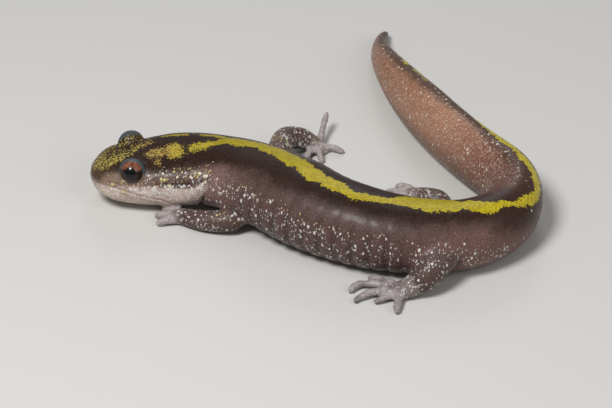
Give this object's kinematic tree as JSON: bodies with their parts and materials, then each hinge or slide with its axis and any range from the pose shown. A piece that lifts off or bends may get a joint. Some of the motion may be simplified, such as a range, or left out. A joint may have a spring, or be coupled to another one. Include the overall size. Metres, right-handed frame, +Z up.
{
  "type": "salamander figure",
  "caption": "Life-size long-toed salamander at rest on the floor, back bent and tail swung round behind it, with spread toes, wet dark skin and a yellow stripe along the back.",
  "frame": {"origin": "middle of the footprint's box, at the level of the floor that the belly, feet and tail rest on", "axes": "-X is the way that the head points, +Y is the way that the tail swings round behind the animal, +Z is up"},
  "size_m": [0.0698, 0.0808, 0.012],
  "materials": {
    "dark_skin": "wet, glossy, dark brown with a yellow back stripe and pale flecks",
    "pale_skin": "wet, glossy, pale greyish pink",
    "tail_skin": "wet, glossy, brown with fine stippling",
    "limb_skin": "wet, glossy, grey-brown with pale flecks and paler toes",
    "wet_eye": "clear wet gloss over a dark eye with a copper iris"
  },
  "bodies": {
    "root": {"head": "dark_skin", "lower_jaw": "pale_skin", "eye_left": "wet_eye", "eye_right": "wet_eye", "neck": "dark_skin", "shoulders": "dark_skin", "trunk_front": "dark_skin", "trunk_rear": "dark_skin", "hips": "dark_skin", "tail_base": "tail_skin", "tail_middle": "tail_skin", "tail_rear": "tail_skin", "tail_tip": "tail_skin", "upper_arm_left": "limb_skin", "forearm_left": "limb_skin", "hand_left": "limb_skin", "upper_arm_right": "limb_skin", "forearm_right": "limb_skin", "hand_right": "limb_skin", "thigh_left": "limb_skin", "shank_left": "limb_skin", "foot_left": "limb_skin", "thigh_right": "limb_skin", "shank_right": "limb_skin", "foot_right": "limb_skin"}
  },
  "joints": []
}
